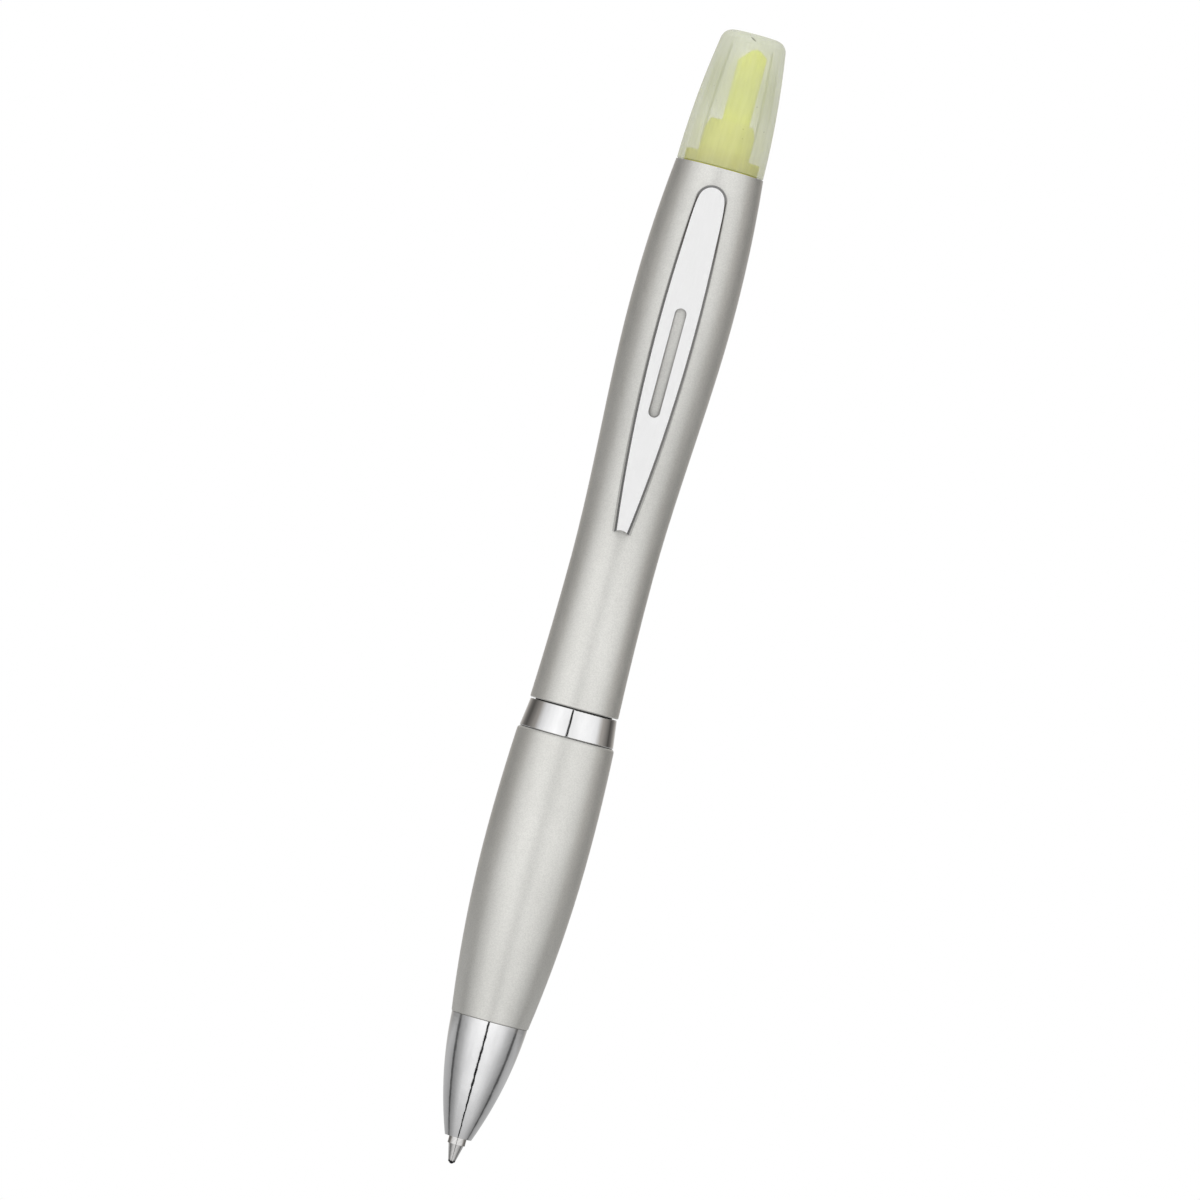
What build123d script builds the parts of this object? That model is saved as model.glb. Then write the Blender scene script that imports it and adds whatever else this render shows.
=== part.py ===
from build123d import *
import os
from math import atan2, cos, sin, sqrt

os.makedirs("parts", exist_ok=True)

# Twist ballpoint pen with a capped chisel highlighter on its upper end.
# Millimetres. The origin is the writing point, +Z runs up the pen to the cap, the clip faces -Y.
# Modelled with the ballpoint out: turning the grip by twist_angle draws the refill in by travel.

# ---------------------------------------------------------------- driving dimensions
# Lengths along the pen, from the writing point up.
point_reach = 3.4  # the point stands this far out of the nose
nose_length = 15.1
grip_length = 36.7
ring_height = 3.6
barrel_length = 69.65
cap_length = 17.3
turn_gap = 0.15  # between the ring and the upper barrel
cap_gap = 0.1  # between the upper barrel and the cap

# Outer shape.
nose_mouth_radius = 1.71
nose_top_radius = 4.88
nose_bulge = 0.59  # how far the nose swells past a straight cone
grip_bottom_radius = 4.93
grip_belly_radius = 6.59
grip_belly_drop = 13.2  # belly below the grip's top
grip_top_radius = 6.22
grip_edge_radius = 0.5
ring_bottom_radius = 6.05
ring_top_radius = 5.58
ring_edge_radius = 0.12
barrel_bottom_radius = 5.7
barrel_waist_radius = 5.32
barrel_waist_rise = 18.25  # waist above the barrel's bottom
barrel_belly_swell = 0.96  # belly's radius over the top's
barrel_belly_drop = 18.1  # belly below the barrel's top
barrel_top_wall = 1.17
barrel_edge = 0.12
cap_step = 0.05  # cap's bottom radius under the barrel's top
cap_narrowing = 1.59  # its top radius under its bottom radius
cap_bulge = 0.33
cap_dome = 0.12
cap_corner_radius = 1.5
cap_wall = 0.95
cap_roof = 1.0
cap_edge = 0.1

# Fits.
running_gap = 0.05  # radial, between pieces that turn or slide in each other
end_play = 0.1  # along the pen, between pieces that turn against each other

# Twist mechanism.
travel = 4.6
twist_angle = 150.0
carrier_radius = 2.35
guide_wall = 0.85
sleeve_wall = 0.85
sleeve_length = 17.8
journal_length = 6.0
flange_height = 1.2
flange_radius = 4.95
ring_seat_radius = 4.6
thread_radius = 4.4
thread_length = 9.0
thread_relief = 0.3
pin_radius = 0.65
pin_rise = 6.9  # pin above the cam sleeve's bottom with the point out
pin_slot_gap = 0.08
pin_end_gap = 0.12
carrier_below_pin = 6.0
carrier_above_pin = 3.0
socket_depth = 4.0
o_ring_section = 0.8
o_ring_rise = 3.0  # above the flange
o_ring_side_gap = 0.05
snap_groove_depth = 0.35
snap_ring_gap = 0.15  # to the bore above the cam sleeve
snap_ring_height = 0.7
snap_ring_opening = 3.0
guide_end_length = 1.5  # guide tube above the snap ring
sleeve_stop_step = 0.2

# Nose and spring.
nose_seat_rise = 4.6  # spring seat above the nose's mouth
spring_chamber_radius = 2.05
spring_wire = 0.35
spring_mean_radius = 1.65
spring_turns = 9
spring_length = 16.0
spigot_radius = 3.9
spigot_length = 6.0
grip_bore_radius = 3.3

# Refill.
ball_radius = 0.35
ball_gap = 0.015
point_lip_rise = 0.22
point_lip_radius = 0.42
point_base_radius = 0.98
point_length = 2.5
point_shank_radius = 0.75
point_shank_length = 5.0
ink_channel_radius = 0.2
holder_front_radius = 1.12
holder_front_length = 7.5
holder_rear_radius = 1.3
holder_bore_radius = 0.5
shoulder_radius = 1.9
shoulder_height = 1.2
tube_radius = 1.5
tube_wall = 0.35
tube_plug_length = 2.8
end_plug_length = 2.0
vent_radius = 0.3
grease_length = 3.0
air_length = 4.0
nose_point_gap = 0.1

# Highlighter.
cup_gap = 0.25  # between the reservoir cup and the barrel's bore
insert_plug_length = 4.0
spigot_in_cup_length = 5.0
spigot_wall = 0.45
cup_wall = 0.5
cup_length = 24.0
cup_floor = 0.8
cup_end_room = 2.0
reservoir_radius = 3.1
film_thickness = 0.12
film_gap = 0.03
reservoir_front_drop = 2.6  # reservoir's front end below the barrel's top
nib_in_reservoir = 3.0
collar_step = 0.25  # collar's radius over the bore it closes
collar_height = 1.6
cap_mouth_depth = 1.8
neck_radius = 3.25
neck_height = 3.1
neck_taper_height = 1.3
neck_tip_radius = 2.75
nib_shank_radius = 1.45
nib_shank_rise = 0.4  # round shank ends this far above the barrel's top
nib_width = 3.5
nib_depth = 3.0
nib_corner = 0.9
nib_offset = 0.4
nib_height = 15.95  # nib's peak above the barrel's top, before it is rounded
nib_peak_offset = 0.55
nib_left_slope_drop = 2.1
nib_right_slope_drop = 1.2
nib_peak_round = 1.0
nib_edge_thickness = 1.0
nib_bevel_length = 4.6

# Clip.
clip_drop = 2.4  # clip's top below the barrel's top
clip_length = 44.7
clip_sheet = 0.45
clip_top_half_width = 1.9
clip_belly_half_width = 2.55
clip_belly_down = 18.2
clip_tip_half_width = 0.9
clip_draft = 7.0
clip_rise_root = 1.43  # clip's outer face over the barrel's top radius, at its top
clip_rise_tip = 1.98  # and at its tip
clip_depth = 2.9
clip_gap = 0.2
clip_bevel = 0.26
clip_slot_length = 14.0
clip_slot_width = 1.46
clip_slot_down = 22.8
clip_tip_arch = 0.35
tongue_down = 1.35
tongue_width = 2.4
tongue_thickness = 0.5
bead_radius = 0.4
bead_gap = 0.1
bead_wall = 0.25  # between the bead's socket and the barrel's bore
tongue_gap = 0.15

# ---------------------------------------------------------------- stations and fits
nose_mouth_z = point_reach
nose_top_z = nose_mouth_z + nose_length
grip_top_z = nose_top_z + grip_length
ring_top_z = grip_top_z + ring_height
barrel_bottom_z = ring_top_z + turn_gap
barrel_top_z = barrel_bottom_z + barrel_length
cap_bottom_z = barrel_top_z + cap_gap
cap_top_z = cap_bottom_z + cap_length

flange_top_z = ring_top_z + flange_height
journal_top_z = flange_top_z + journal_length
sleeve_bottom_z = journal_top_z + end_play
sleeve_top_z = sleeve_bottom_z + sleeve_length
pin_z = sleeve_bottom_z + pin_rise
snap_ring_z = sleeve_top_z + end_play
guide_bottom_z = grip_top_z - thread_length
guide_top_z = snap_ring_z + snap_ring_height + guide_end_length
o_ring_z = flange_top_z + o_ring_rise

guide_bore_radius = carrier_radius + running_gap
guide_radius = guide_bore_radius + guide_wall
sleeve_bore_radius = guide_radius + running_gap
barrel_bore_radius = sleeve_bore_radius + sleeve_wall
journal_radius = barrel_bore_radius - running_gap
snap_groove_radius = guide_radius - snap_groove_depth
pin_slot_radius = pin_radius + pin_slot_gap
o_ring_radius = o_ring_section / 2
sleeve_stop_radius = barrel_bore_radius - sleeve_stop_step
snap_ring_radius = sleeve_stop_radius - snap_ring_gap
o_ring_centre_radius = barrel_bore_radius - running_gap - o_ring_radius

carrier_bottom_z = pin_z - carrier_below_pin
carrier_top_z = pin_z + carrier_above_pin
tube_top_z = carrier_bottom_z + socket_depth
spring_seat_z = nose_mouth_z + nose_seat_rise
shoulder_z = spring_seat_z + spring_length
tube_bottom_z = shoulder_z + shoulder_height
tube_bore_radius = tube_radius - tube_wall
point_shank_top_z = point_length + point_shank_length
holder_top_z = tube_bottom_z + tube_plug_length
end_plug_z = tube_top_z - end_plug_length
grease_top_z = end_plug_z - air_length
grease_bottom_z = grease_top_z - grease_length

insert_plug_z = barrel_top_z - insert_plug_length
insert_bottom_z = insert_plug_z - spigot_in_cup_length
cup_bottom_z = insert_plug_z - cup_length
reservoir_bottom_z = cup_bottom_z + cup_floor
reservoir_top_z = barrel_top_z - reservoir_front_drop
film_radius = reservoir_radius + film_thickness
holder_bore_wide_radius = film_radius + film_gap
cup_bore_radius = holder_bore_wide_radius + spigot_wall
cup_radius = cup_bore_radius + cup_wall
insert_bore_radius = cup_radius + cup_gap
collar_radius = insert_bore_radius + collar_step
barrel_top_radius = insert_bore_radius + barrel_top_wall
barrel_belly_radius = barrel_top_radius + barrel_belly_swell
cap_bottom_radius = barrel_top_radius - cap_step
cap_top_radius = cap_bottom_radius - cap_narrowing
collar_top_z = barrel_top_z + collar_height
neck_top_z = collar_top_z + neck_height
neck_tip_z = neck_top_z + neck_taper_height
nib_shank_top_z = barrel_top_z + nib_shank_rise
nib_bottom_z = reservoir_top_z - nib_in_reservoir
nib_top_z = barrel_top_z + nib_height

clip_top_z = barrel_top_z - clip_drop
clip_face_root = barrel_top_radius + clip_rise_root
clip_side_fall = clip_belly_half_width - clip_tip_half_width
clip_side_run = clip_length - clip_belly_down
clip_side_radius = (clip_side_run**2 + clip_side_fall**2) / (2 * clip_side_fall)
clip_lean = atan2(clip_rise_tip - clip_rise_root, clip_length)
bead_centre_radius = insert_bore_radius + bead_wall + bead_gap + bead_radius
tongue_z = clip_top_z - tongue_down
clip_face = Plane(
    origin=(0, -clip_face_root, clip_top_z),
    x_dir=(1, 0, 0),
    z_dir=(0, cos(clip_lean), -sin(clip_lean)),
)


# ---------------------------------------------------------------- outlines
def stepped(bottom, *steps):
    """Points up the side of a turned piece: from its bottom, each step is (radius, top)."""
    points = []
    z = bottom
    for radius, top in steps:
        points += [(radius, z), (radius, top)]
        z = top
    return points


def tube_outline(outer, inner):
    """Closed outline of a turned piece between the points of its outside and of its bore."""
    return Polyline(*outer, *reversed(inner), close=True)


def bulged(start, end, bulge):
    """Arc from start to end that swells outwards by bulge at its middle."""
    middle = ((start[0] + end[0]) / 2 + bulge, (start[1] + end[1]) / 2)
    return ThreePointArc(start, middle, end)


def barrel_side(clearance):
    """The upper barrel's side, moved outwards by clearance, with its ends on the axis."""
    waist_z = barrel_bottom_z + barrel_waist_rise
    belly_z = barrel_top_z - barrel_belly_drop
    third = (belly_z - waist_z) / 3
    bottom = (barrel_bottom_radius + clearance, barrel_bottom_z)
    waist = (barrel_waist_radius + clearance, waist_z)
    belly = (barrel_belly_radius + clearance, belly_z)
    top = (barrel_top_radius + clearance, barrel_top_z)
    Line((0, barrel_bottom_z), bottom)
    TangentArc(waist, bottom, tangent=(0, -1))
    Bezier(waist, (waist[0], waist_z + third), (belly[0], belly_z - third), belly)
    TangentArc(belly, top, tangent=(0, 1))
    Line(top, (0, barrel_top_z))
    Line((0, barrel_top_z), (0, barrel_bottom_z))


def rims(turned):
    """The full circles round a turned piece, lowest first."""
    circles = turned.edges().filter_by(GeomType.CIRCLE)
    return circles.filter_by(lambda edge: edge.is_closed).sort_by(Axis.Z)


def clip_half_outline(down):
    """Side and round top of the clip's face, to a distance down past its tip."""
    round_end = (clip_top_half_width, clip_top_half_width)
    belly = (clip_belly_half_width, clip_belly_down)
    side_centre = clip_belly_half_width - clip_side_radius
    end = (side_centre + sqrt(clip_side_radius**2 - (down - clip_belly_down) ** 2), down)
    Line((0, 0), (0, down))
    Line((0, down), end)
    TangentArc(belly, end, tangent=(0, 1))
    TangentArc(belly, round_end, tangent=(0, -1))
    TangentArc(round_end, (0, 0), tangent=(0, -1))


# ---------------------------------------------------------------- upper barrel
with BuildPart() as upper_barrel:
    with BuildSketch(Plane.XZ):
        with BuildLine():
            barrel_side(0)
        make_face()
    revolve(axis=Axis.Z)
    chamfer(rims(upper_barrel)[0], barrel_edge)
    with BuildSketch(Plane.XZ):
        with BuildLine():
            barrel_bores = stepped(
                barrel_bottom_z,
                (flange_radius + running_gap, flange_top_z + end_play),
                (barrel_bore_radius, sleeve_top_z),
                (sleeve_stop_radius, cup_bottom_z - cup_end_room),
                (insert_bore_radius, barrel_top_z),
            )
            Polyline((0, barrel_bottom_z), *barrel_bores, (0, barrel_top_z), close=True)
        make_face()
    revolve(axis=Axis.Z, mode=Mode.SUBTRACT)
    # Slot through the wall for the clip's tongue, and the socket for its bead.
    with BuildSketch(Plane.XZ.offset(bead_centre_radius)):
        with Locations((0, tongue_z)):
            Rectangle(tongue_width + 2 * tongue_gap, tongue_thickness + 2 * tongue_gap)
    extrude(amount=barrel_belly_radius - bead_centre_radius, mode=Mode.SUBTRACT)
    with BuildSketch(Plane.YZ):
        with Locations((-bead_centre_radius, tongue_z)):
            Circle(bead_radius + bead_gap)
    extrude(amount=tongue_width / 2 + tongue_gap, both=True, mode=Mode.SUBTRACT)
upper_barrel.part.label = "upper_barrel"
export_step(upper_barrel.part, "parts/upper_barrel.step")

# ---------------------------------------------------------------- clip
with BuildPart() as barrel_clearance:
    with BuildSketch(Plane.XZ):
        with BuildLine():
            barrel_side(clip_gap)
        make_face()
    revolve(axis=Axis.Z)

past_tip = clip_length + clip_depth  # the stamping is trimmed back to the tip afterwards
with BuildPart() as clip:
    with BuildSketch(clip_face) as clip_outline:
        with BuildLine():
            clip_half_outline(past_tip)
        make_face()
        mirror(about=Plane.YZ)
    extrude(amount=clip_depth, taper=-clip_draft)
    chamfer(clip.faces().sort_by(Axis.Y)[0].outer_wire().edges(), length=clip_bevel)
    # The hollow under the face, and the end cut with its shallow arch.
    with BuildSketch(clip_face.offset(clip_sheet)):
        with BuildLine():
            clip_half_outline(past_tip)
        make_face()
        mirror(about=Plane.YZ)
        offset(amount=-clip_sheet, kind=Kind.INTERSECTION)
    extrude(amount=clip_depth, taper=-clip_draft, mode=Mode.SUBTRACT)
    with BuildSketch(clip_face.offset(-clip_depth)):
        with BuildLine():
            clip_corner = (2 * clip_belly_half_width, clip_length)
            Polyline(
                (-clip_corner[0], clip_length),
                (-clip_corner[0], past_tip + clip_depth),
                (clip_corner[0], past_tip + clip_depth),
                clip_corner,
            )
            Line(clip_corner, (clip_tip_half_width, clip_length))
            ThreePointArc(
                (clip_tip_half_width, clip_length),
                (0, clip_length - clip_tip_arch),
                (-clip_tip_half_width, clip_length),
            )
            Line((-clip_tip_half_width, clip_length), (-clip_corner[0], clip_length))
        make_face()
    extrude(amount=3 * clip_depth, mode=Mode.SUBTRACT)
    with BuildSketch(clip_face.offset(-clip_sheet)):
        with Locations((0, clip_slot_down)):
            SlotOverall(clip_slot_length, clip_slot_width, rotation=90)
    extrude(amount=3 * clip_sheet, mode=Mode.SUBTRACT)
    add(barrel_clearance.part, mode=Mode.SUBTRACT)
    # Tongue through the barrel's wall, rolled at its end into a bead.
    with BuildSketch(Plane.XZ.offset(bead_centre_radius)):
        with Locations((0, tongue_z)):
            Rectangle(tongue_width, tongue_thickness)
    extrude(amount=clip_face_root - clip_sheet / 2 - bead_centre_radius)
    with BuildSketch(Plane.YZ):
        with Locations((-bead_centre_radius, tongue_z)):
            Circle(bead_radius)
    extrude(amount=tongue_width / 2, both=True)
clip.part.label = "clip"
export_step(clip.part, "parts/clip.step")

# ---------------------------------------------------------------- highlighter end
with BuildPart() as highlighter_cap:
    with BuildSketch(Plane.XZ):
        with BuildLine():
            cap_corner = (cap_top_radius, cap_top_z - cap_dome)
            Line((0, cap_bottom_z), (cap_bottom_radius, cap_bottom_z))
            bulged((cap_bottom_radius, cap_bottom_z), cap_corner, cap_bulge)
            TangentArc((0, cap_top_z), cap_corner, tangent=(1, 0))
            Line((0, cap_top_z), (0, cap_bottom_z))
        make_face()
    revolve(axis=Axis.Z)
    fillet(rims(highlighter_cap)[-1], radius=cap_corner_radius)
    chamfer(rims(highlighter_cap)[0], cap_edge)
    with BuildSketch(Plane.XZ):
        with BuildLine():
            hollow_top_z = cap_top_z - cap_roof
            hollow_corner = (cap_top_radius - cap_wall / 2, hollow_top_z)
            Line((0, cap_bottom_z), (cap_bottom_radius - cap_wall, cap_bottom_z))
            bulged((cap_bottom_radius - cap_wall, cap_bottom_z), hollow_corner, cap_bulge)
            Line(hollow_corner, (0, hollow_top_z))
            Line((0, hollow_top_z), (0, cap_bottom_z))
        make_face()
    revolve(axis=Axis.Z, mode=Mode.SUBTRACT)
    with BuildSketch(Plane.XY.offset(cap_bottom_z)):
        Circle(collar_radius + running_gap)
    extrude(amount=cap_mouth_depth, mode=Mode.SUBTRACT)
highlighter_cap.part.label = "highlighter_cap"
export_step(highlighter_cap.part, "parts/highlighter_cap.step")

with BuildPart() as nib_holder:
    with BuildSketch(Plane.XZ):
        with BuildLine():
            holder_side = stepped(
                insert_bottom_z,
                (cup_bore_radius, insert_plug_z),
                (insert_bore_radius, barrel_top_z),
                (collar_radius, collar_top_z),
                (neck_radius, neck_top_z),
            )
            holder_bores = stepped(
                insert_bottom_z,
                (holder_bore_wide_radius, reservoir_top_z),
                (nib_shank_radius, nib_shank_top_z),
                (0, neck_tip_z),
            )
            tube_outline([*holder_side, (neck_tip_radius, neck_tip_z)], holder_bores)
        make_face()
    revolve(axis=Axis.Z)
    with BuildSketch(Plane.XY.offset(nib_shank_top_z)):
        with Locations((nib_offset, 0)):
            RectangleRounded(nib_width, nib_depth, nib_corner)
    extrude(amount=neck_tip_z - nib_shank_top_z, mode=Mode.SUBTRACT)
nib_holder.part.label = "nib_holder"
export_step(nib_holder.part, "parts/nib_holder.step")

with BuildPart() as highlighter_nib:
    with BuildSketch(Plane.XY.offset(nib_shank_top_z)):
        with Locations((nib_offset, 0)):
            RectangleRounded(nib_width, nib_depth, nib_corner)
    extrude(amount=nib_top_z - nib_shank_top_z)
    # Chisel point: a slanted peak seen from the clip side, bevelled to an edge from the side.
    with BuildSketch(Plane.XZ):
        with BuildLine():
            nib_left = nib_offset - nib_width / 2
            nib_right = nib_offset + nib_width / 2
            Polyline(
                (nib_left, nib_shank_top_z),
                (nib_left, nib_top_z - nib_left_slope_drop),
                (nib_peak_offset, nib_top_z),
                (nib_right, nib_top_z - nib_right_slope_drop),
                (nib_right, nib_shank_top_z),
                close=True,
            )
        make_face()
        fillet(vertices().group_by(Axis.Y)[-1], radius=nib_peak_round)
    extrude(amount=nib_depth, both=True, mode=Mode.INTERSECT)
    with BuildSketch(Plane.YZ):
        with BuildLine():
            Polyline(
                (-nib_depth / 2, nib_shank_top_z),
                (-nib_depth / 2, nib_top_z - nib_bevel_length),
                (-nib_edge_thickness / 2, nib_top_z),
                (nib_edge_thickness / 2, nib_top_z),
                (nib_depth / 2, nib_top_z - nib_bevel_length),
                (nib_depth / 2, nib_shank_top_z),
                close=True,
            )
        make_face()
    extrude(amount=nib_width, both=True, mode=Mode.INTERSECT)
    with BuildSketch(Plane.XY.offset(nib_bottom_z)):
        Circle(nib_shank_radius)
    extrude(amount=nib_shank_top_z - nib_bottom_z)
highlighter_nib.part.label = "highlighter_nib"
export_step(highlighter_nib.part, "parts/highlighter_nib.step")

with BuildPart() as ink_reservoir:
    with BuildSketch(Plane.XY.offset(reservoir_bottom_z)):
        Circle(reservoir_radius)
    extrude(amount=reservoir_top_z - reservoir_bottom_z)
    with BuildSketch(Plane.XY.offset(nib_bottom_z)):
        Circle(nib_shank_radius)
    extrude(amount=nib_in_reservoir, mode=Mode.SUBTRACT)
ink_reservoir.part.label = "ink_reservoir"
export_step(ink_reservoir.part, "parts/ink_reservoir.step")

with BuildPart() as reservoir_sleeve:
    with BuildSketch(Plane.XY.offset(reservoir_bottom_z)):
        Circle(film_radius)
        Circle(reservoir_radius, mode=Mode.SUBTRACT)
    extrude(amount=reservoir_top_z - reservoir_bottom_z)
reservoir_sleeve.part.label = "reservoir_sleeve"
export_step(reservoir_sleeve.part, "parts/reservoir_sleeve.step")

with BuildPart() as reservoir_cup:
    with BuildSketch(Plane.XY.offset(cup_bottom_z)):
        Circle(cup_radius)
    extrude(amount=cup_length)
    with BuildSketch(Plane.XY.offset(reservoir_bottom_z)):
        Circle(cup_bore_radius)
    extrude(amount=cup_length - cup_floor, mode=Mode.SUBTRACT)
reservoir_cup.part.label = "reservoir_cup"
export_step(reservoir_cup.part, "parts/reservoir_cup.step")

# ---------------------------------------------------------------- lower shells
with BuildPart() as center_ring:
    with BuildSketch(Plane.XZ):
        with BuildLine():
            Polyline(
                (ring_seat_radius, grip_top_z),
                (ring_bottom_radius, grip_top_z),
                (ring_top_radius, ring_top_z),
                (ring_seat_radius, ring_top_z),
                close=True,
            )
        make_face()
        fillet(vertices().group_by(Axis.X)[-2:], radius=ring_edge_radius)
    revolve(axis=Axis.Z)
center_ring.part.label = "center_ring"
export_step(center_ring.part, "parts/center_ring.step")

with BuildPart() as grip_section:
    with BuildSketch(Plane.XZ):
        with BuildLine():
            grip_belly = (grip_belly_radius, grip_top_z - grip_belly_drop)
            Line((0, nose_top_z), (grip_bottom_radius, nose_top_z))
            TangentArc(grip_belly, (grip_bottom_radius, nose_top_z), tangent=(0, -1))
            TangentArc(grip_belly, (grip_top_radius, grip_top_z), tangent=(0, 1))
            Line((grip_top_radius, grip_top_z), (0, grip_top_z))
            Line((0, grip_top_z), (0, nose_top_z))
        make_face()
    revolve(axis=Axis.Z)
    fillet(rims(grip_section)[-1], radius=grip_edge_radius)
    chamfer(rims(grip_section)[0], barrel_edge)
    with BuildSketch(Plane.XZ):
        with BuildLine():
            grip_bores = stepped(
                nose_top_z,
                (spigot_radius, nose_top_z + spigot_length),
                (grip_bore_radius, guide_bottom_z - thread_relief),
                (thread_radius, grip_top_z),
            )
            Polyline((0, nose_top_z), *grip_bores, (0, grip_top_z), close=True)
        make_face()
    revolve(axis=Axis.Z, mode=Mode.SUBTRACT)
grip_section.part.label = "grip_section"
export_step(grip_section.part, "parts/grip_section.step")

with BuildPart() as nose_cone:
    with BuildSketch(Plane.XZ):
        with BuildLine():
            spigot_top_z = nose_top_z + spigot_length
            bulged((nose_mouth_radius, nose_mouth_z), (nose_top_radius, nose_top_z), nose_bulge)
            nose_bores = stepped(
                nose_mouth_z,
                (holder_front_radius + nose_point_gap, spring_seat_z),
                (spring_chamber_radius, spigot_top_z),
            )
            Polyline(
                (nose_top_radius, nose_top_z),
                (spigot_radius, nose_top_z),
                (spigot_radius, spigot_top_z),
                *reversed(nose_bores),
                (nose_mouth_radius, nose_mouth_z),
            )
        make_face()
    revolve(axis=Axis.Z)
nose_cone.part.label = "nose_cone"
export_step(nose_cone.part, "parts/nose_cone.step")

# ---------------------------------------------------------------- twist mechanism
with BuildPart() as guide_tube:
    with BuildSketch(Plane.XZ):
        with BuildLine():
            guide_side = stepped(
                guide_bottom_z,
                (thread_radius, grip_top_z),
                (ring_seat_radius, ring_top_z),
                (flange_radius, flange_top_z),
                (journal_radius, journal_top_z),
                (guide_radius, snap_ring_z),
                (snap_groove_radius, snap_ring_z + snap_ring_height),
                (guide_radius, guide_top_z),
            )
            tube_outline(guide_side, stepped(guide_bottom_z, (guide_bore_radius, guide_top_z)))
        make_face()
    revolve(axis=Axis.Z)
    # Groove for the friction ring.
    with BuildSketch(Plane.XY.offset(o_ring_z)):
        Circle(journal_radius)
        Circle(o_ring_centre_radius - o_ring_radius, mode=Mode.SUBTRACT)
    extrude(amount=o_ring_radius + o_ring_side_gap, both=True, mode=Mode.SUBTRACT)
    # Two straight slots, open at the top, that the cam pin slides in.
    with BuildSketch(Plane.YZ):
        with Locations((0, pin_z)):
            Circle(pin_slot_radius)
        with Locations((0, (pin_z + guide_top_z) / 2)):
            Rectangle(2 * pin_slot_radius, guide_top_z - pin_z)
    extrude(amount=guide_radius, both=True, mode=Mode.SUBTRACT)
guide_tube.part.label = "guide_tube"
export_step(guide_tube.part, "parts/guide_tube.step")

# One helical slot: it climbs by travel over twist_angle, with a round end for the pin.
slot_middle_radius = (sleeve_bore_radius + barrel_bore_radius) / 2
with BuildPart() as helical_slot:
    with BuildLine() as slot_path:
        Helix(
            pitch=travel * 360 / twist_angle,
            height=travel,
            radius=slot_middle_radius,
            center=(0, 0, pin_z),
        )
    slot_start = Plane(
        origin=slot_path.line @ 0, x_dir=(1, 0, 0), z_dir=slot_path.line % 0
    )
    with BuildSketch(slot_start):
        Rectangle(2 * sleeve_wall, 2 * pin_slot_radius)
    sweep(path=slot_path.line, is_frenet=True)
    for turned, raised in ((0, 0), (twist_angle, travel)):
        slot_end = Plane.YZ.rotated((0, 0, turned)).offset(slot_middle_radius - sleeve_wall)
        with BuildSketch(slot_end):
            with Locations((0, pin_z + raised)):
                Circle(pin_slot_radius)
        extrude(amount=2 * sleeve_wall)

with BuildPart() as cam_sleeve:
    with BuildSketch(Plane.XY.offset(sleeve_bottom_z)):
        Circle(barrel_bore_radius)
        Circle(sleeve_bore_radius, mode=Mode.SUBTRACT)
    extrude(amount=sleeve_length)
    with PolarLocations(0, 2):
        add(helical_slot.part, mode=Mode.SUBTRACT)
cam_sleeve.part.label = "cam_sleeve"
export_step(cam_sleeve.part, "parts/cam_sleeve.step")

with BuildPart() as friction_o_ring:
    with BuildSketch(Plane.XZ):
        with Locations((o_ring_centre_radius, o_ring_z)):
            Circle(o_ring_radius)
    revolve(axis=Axis.Z)
friction_o_ring.part.label = "friction_o_ring"
export_step(friction_o_ring.part, "parts/friction_o_ring.step")

with BuildPart() as retaining_ring:
    with BuildSketch(Plane.XY.offset(snap_ring_z)):
        Circle(snap_ring_radius)
        Circle(snap_groove_radius, mode=Mode.SUBTRACT)
        with Locations((0, snap_ring_radius)):
            Rectangle(snap_ring_opening, 2 * snap_ring_radius, mode=Mode.SUBTRACT)
    extrude(amount=snap_ring_height)
retaining_ring.part.label = "retaining_ring"
export_step(retaining_ring.part, "parts/retaining_ring.step")

with BuildPart() as refill_carrier:
    with BuildSketch(Plane.XY.offset(carrier_bottom_z)):
        Circle(carrier_radius)
    extrude(amount=carrier_top_z - carrier_bottom_z)
    with BuildSketch(Plane.XY.offset(carrier_bottom_z)):
        Circle(tube_radius)
    extrude(amount=socket_depth, mode=Mode.SUBTRACT)
    with BuildSketch(Plane.YZ):
        with Locations((0, pin_z)):
            Circle(pin_radius)
    extrude(amount=carrier_radius, both=True, mode=Mode.SUBTRACT)
refill_carrier.part.label = "refill_carrier"
export_step(refill_carrier.part, "parts/refill_carrier.step")

with BuildPart() as cam_pin:
    with BuildSketch(Plane.YZ):
        with Locations((0, pin_z)):
            Circle(pin_radius)
    extrude(amount=barrel_bore_radius - pin_end_gap, both=True)
cam_pin.part.label = "cam_pin"
export_step(cam_pin.part, "parts/cam_pin.step")

# ---------------------------------------------------------------- refill and spring
with BuildPart() as return_spring:
    with BuildLine() as spring_path:
        spring_rise = spring_length - spring_wire
        Helix(
            pitch=spring_rise / spring_turns,
            height=spring_rise,
            radius=spring_mean_radius,
            center=(0, 0, spring_seat_z + spring_wire / 2),
        )
    wire_start = Plane(
        origin=spring_path.line @ 0, x_dir=(1, 0, 0), z_dir=spring_path.line % 0
    )
    with BuildSketch(wire_start):
        Circle(spring_wire / 2)
    sweep(path=spring_path.line, is_frenet=True)
return_spring.part.label = "return_spring"
export_step(return_spring.part, "parts/return_spring.step")

with BuildPart() as writing_ball:
    with BuildSketch(Plane.XZ):
        with BuildLine():
            ThreePointArc((0, 0), (ball_radius, ball_radius), (0, 2 * ball_radius))
            Line((0, 2 * ball_radius), (0, 0))
        make_face()
    revolve(axis=Axis.Z)
writing_ball.part.label = "writing_ball"
export_step(writing_ball.part, "parts/writing_ball.step")

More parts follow.
